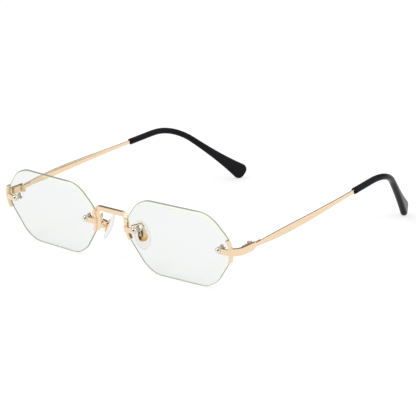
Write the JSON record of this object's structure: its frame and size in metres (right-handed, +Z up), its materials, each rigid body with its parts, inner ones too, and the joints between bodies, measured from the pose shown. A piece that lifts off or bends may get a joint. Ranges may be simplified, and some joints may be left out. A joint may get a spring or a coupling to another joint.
{
  "type": "rimless spectacles",
  "caption": "Rimless spectacles: clear six-sided lenses screwed to a slim gold bridge and end pieces, sprung arms with clear nose pads, and folding temples with black ear tips.",
  "frame": {"origin": "centre of the bottom of the bounding box, on the table the open glasses stand on", "axes": "+X to the wearer's left, -Y to the front (the lenses), +Z up"},
  "size_m": [0.1382, 0.1477, 0.0335],
  "materials": {
    "lens_clear": "polished clear lens with a very pale mint tint",
    "rose_gold": "polished pale rose gold plating",
    "yellow_gold": "polished yellow gold plating",
    "silver": "polished silver plating",
    "bush_clear": "clear plastic",
    "pad_clear": "clear soft silicone",
    "tip_black": "glossy black"
  },
  "bodies": {
    "front": {"lens_right": "lens_clear", "lens_left": "lens_clear", "bridge_bar": "rose_gold", "nose_bracket_right": "rose_gold", "nose_bracket_left": "rose_gold", "end_piece_right": "rose_gold", "end_piece_left": "rose_gold", "lens_screws": "silver", "lens_bushes": "bush_clear", "front_washers": "bush_clear", "rear_washers": "bush_clear", "cap_nuts": "silver", "pad_arm_right": "rose_gold", "pad_arm_left": "rose_gold", "pad_box_right": "rose_gold", "pad_box_left": "rose_gold", "pad_screws": "silver", "hinge_leaf_right": "rose_gold", "hinge_leaf_left": "rose_gold", "leaf_rivets": "silver", "hinge_screw_right": "rose_gold", "hinge_screw_left": "rose_gold"},
    "temple_right": {"temple_bar_right": "rose_gold", "temple_tip_right": "tip_black", "hinge_tongue_right": "rose_gold"},
    "nose_pad_right": {"nose_pad_right": "pad_clear", "pad_plate_right": "yellow_gold"},
    "temple_left": {"temple_bar_left": "rose_gold", "temple_tip_left": "tip_black", "hinge_tongue_left": "rose_gold"},
    "nose_pad_left": {"nose_pad_left": "pad_clear", "pad_plate_left": "yellow_gold"}
  },
  "joints": [
    {"name": "right_temple_fold", "type": "hinge", "parent": "front", "child": "temple_right", "pos_m": [-0.06637, -0.05917, 0.01943], "axis": [0, 0.1132, -0.9936], "range_deg": [0, 86]},
    {"name": "left_temple_fold", "type": "hinge", "parent": "front", "child": "temple_left", "pos_m": [0.06637, -0.05917, 0.01943], "axis": [0, -0.1132, 0.9936], "range_deg": [0, 79]},
    {"name": "right_pad_rock", "type": "hinge", "parent": "front", "child": "nose_pad_right", "pos_m": [-0.01144, -0.06377, 0.01434], "axis": [-0.5, 0.8574, 0.122], "range_deg": [-8, 8]},
    {"name": "left_pad_rock", "type": "hinge", "parent": "front", "child": "nose_pad_left", "pos_m": [0.01144, -0.06377, 0.01434], "axis": [0.5, 0.8574, 0.122], "range_deg": [-8, 8]}
  ]
}
